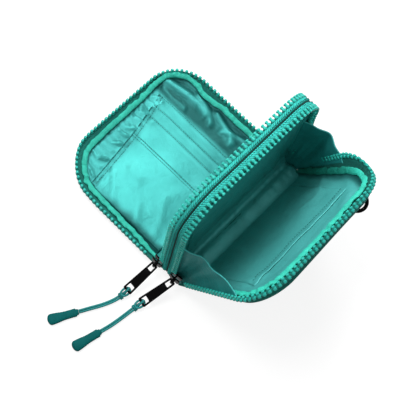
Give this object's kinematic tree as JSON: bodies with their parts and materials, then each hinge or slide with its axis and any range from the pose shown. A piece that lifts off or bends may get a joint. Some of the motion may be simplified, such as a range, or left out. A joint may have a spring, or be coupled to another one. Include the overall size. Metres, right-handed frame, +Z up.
{
  "type": "wristlet pouch",
  "caption": "Zip-round wristlet pouch lying open: a flat card leaf, an upright divider, a leaning rear leaf on gussets, zip sliders with cord pulls, and a D-ring.",
  "frame": {"origin": "middle of the flat foot of the spine, on the surface that the open pouch stands on", "axes": "+X along the hinges towards the zip sliders, -Y towards the front leaf's free edge, +Z up along the divider"},
  "size_m": [0.3349, 0.2886, 0.1792],
  "materials": {
    "shell_fabric": "dark green-teal woven nylon",
    "satin_lining": "turquoise satin with a soft sheen",
    "gusset_lining": "deep teal satin",
    "foam_sheet": "pale closed-cell foam, hidden",
    "stiffener_board": "pale board, hidden",
    "zip_tape": "green-teal herringbone tape",
    "zip_teeth": "moulded teal teeth with a satin gloss",
    "bias_binding": "bright green-teal gathered binding",
    "seam_piping": "dark seam piping",
    "webbing": "green-teal webbing",
    "cord": "dark teal braided cord",
    "moulded_grip": "dark teal satin rubber",
    "black_metal": "glossy black plating"
  },
  "bodies": {
    "divider": {"spine_panel": "shell_fabric", "divider_stiffener": "stiffener_board", "divider_lining_front": "satin_lining", "divider_lining_rear": "satin_lining", "divider_slip_pocket": "satin_lining", "divider_seam_piping": "seam_piping", "divider_front_tape": "zip_tape", "divider_front_teeth": "zip_teeth", "divider_front_zip_stop": "zip_teeth", "divider_rear_tape": "zip_tape", "divider_rear_teeth": "zip_teeth", "divider_rear_zip_stop": "zip_teeth", "gusset_slider_end": "gusset_lining", "gusset_ring_end": "gusset_lining"},
    "front_leaf": {"front_shell": "shell_fabric", "front_foam": "foam_sheet", "front_lining": "satin_lining", "front_binding": "bias_binding", "front_zip_tape": "zip_tape", "front_leaf_teeth": "zip_teeth", "front_leaf_zip_stop": "zip_teeth", "card_pocket_1": "satin_lining", "card_pocket_2": "satin_lining", "card_pocket_3": "satin_lining", "card_pocket_4": "satin_lining"},
    "rear_leaf": {"rear_shell": "shell_fabric", "rear_foam": "foam_sheet", "rear_lining": "satin_lining", "rear_binding": "bias_binding", "rear_zip_tape": "zip_tape", "rear_leaf_teeth": "zip_teeth", "rear_leaf_zip_stop": "zip_teeth", "rear_slip_pocket": "satin_lining", "d_ring_tab": "webbing"},
    "d_ring": {"d_ring": "black_metal"},
    "front_slider": {"front_slider": "black_metal"},
    "front_pull": {"front_pull": "black_metal"},
    "front_puller": {"front_cord": "cord", "front_cord_wrap": "cord", "front_grip": "moulded_grip"},
    "rear_slider": {"rear_slider": "black_metal"},
    "rear_pull": {"rear_pull": "black_metal"},
    "rear_puller": {"rear_cord": "cord", "rear_cord_wrap": "cord", "rear_grip": "moulded_grip"}
  },
  "joints": [
    {"name": "front_leaf_hinge", "type": "hinge", "parent": "divider", "child": "front_leaf", "pos_m": [0, -0.0132, 0.0166], "axis": [1, 0, 0], "range_deg": [-90, 0]},
    {"name": "rear_leaf_hinge", "type": "hinge", "parent": "divider", "child": "rear_leaf", "pos_m": [0, 0.0132, 0.0166], "axis": [1, 0, 0], "range_deg": [0, 34], "deforming": ["gusset_slider_end", "gusset_ring_end"]},
    {"name": "d_ring_hinge", "type": "hinge", "parent": "rear_leaf", "child": "d_ring", "pos_m": [-0.07, 0.09761, 0.10562], "axis": [1, 0, 0], "range_deg": [-120, 48]},
    {"name": "front_slider_slide", "type": "slide", "parent": "divider", "child": "front_slider", "axis": [0, 0, 1], "range_m": [0, 0.1]},
    {"name": "front_pull_hinge", "type": "hinge", "parent": "front_slider", "child": "front_pull", "pos_m": [0.1064, -0.0132, 0.0241], "axis": [0.1045, 0.9945, 0], "range_deg": [-60, 60]},
    {"name": "front_cord_hinge", "type": "hinge", "parent": "front_pull", "child": "front_puller", "pos_m": [0.14336, -0.01708, 0.00677], "axis": [0.1045, 0.9945, 0], "range_deg": [-30, 25]},
    {"name": "rear_slider_slide", "type": "slide", "parent": "divider", "child": "rear_slider", "axis": [0, 0, 1], "range_m": [0, 0.1]},
    {"name": "rear_pull_hinge", "type": "hinge", "parent": "rear_slider", "child": "rear_pull", "pos_m": [0.1064, 0.0132, 0.0241], "axis": [0.2588, 0.9659, 0], "range_deg": [-60, 60]},
    {"name": "rear_cord_hinge", "type": "hinge", "parent": "rear_pull", "child": "rear_puller", "pos_m": [0.14229, 0.00358, 0.00677], "axis": [0.2588, 0.9659, 0], "range_deg": [-30, 25]}
  ]
}
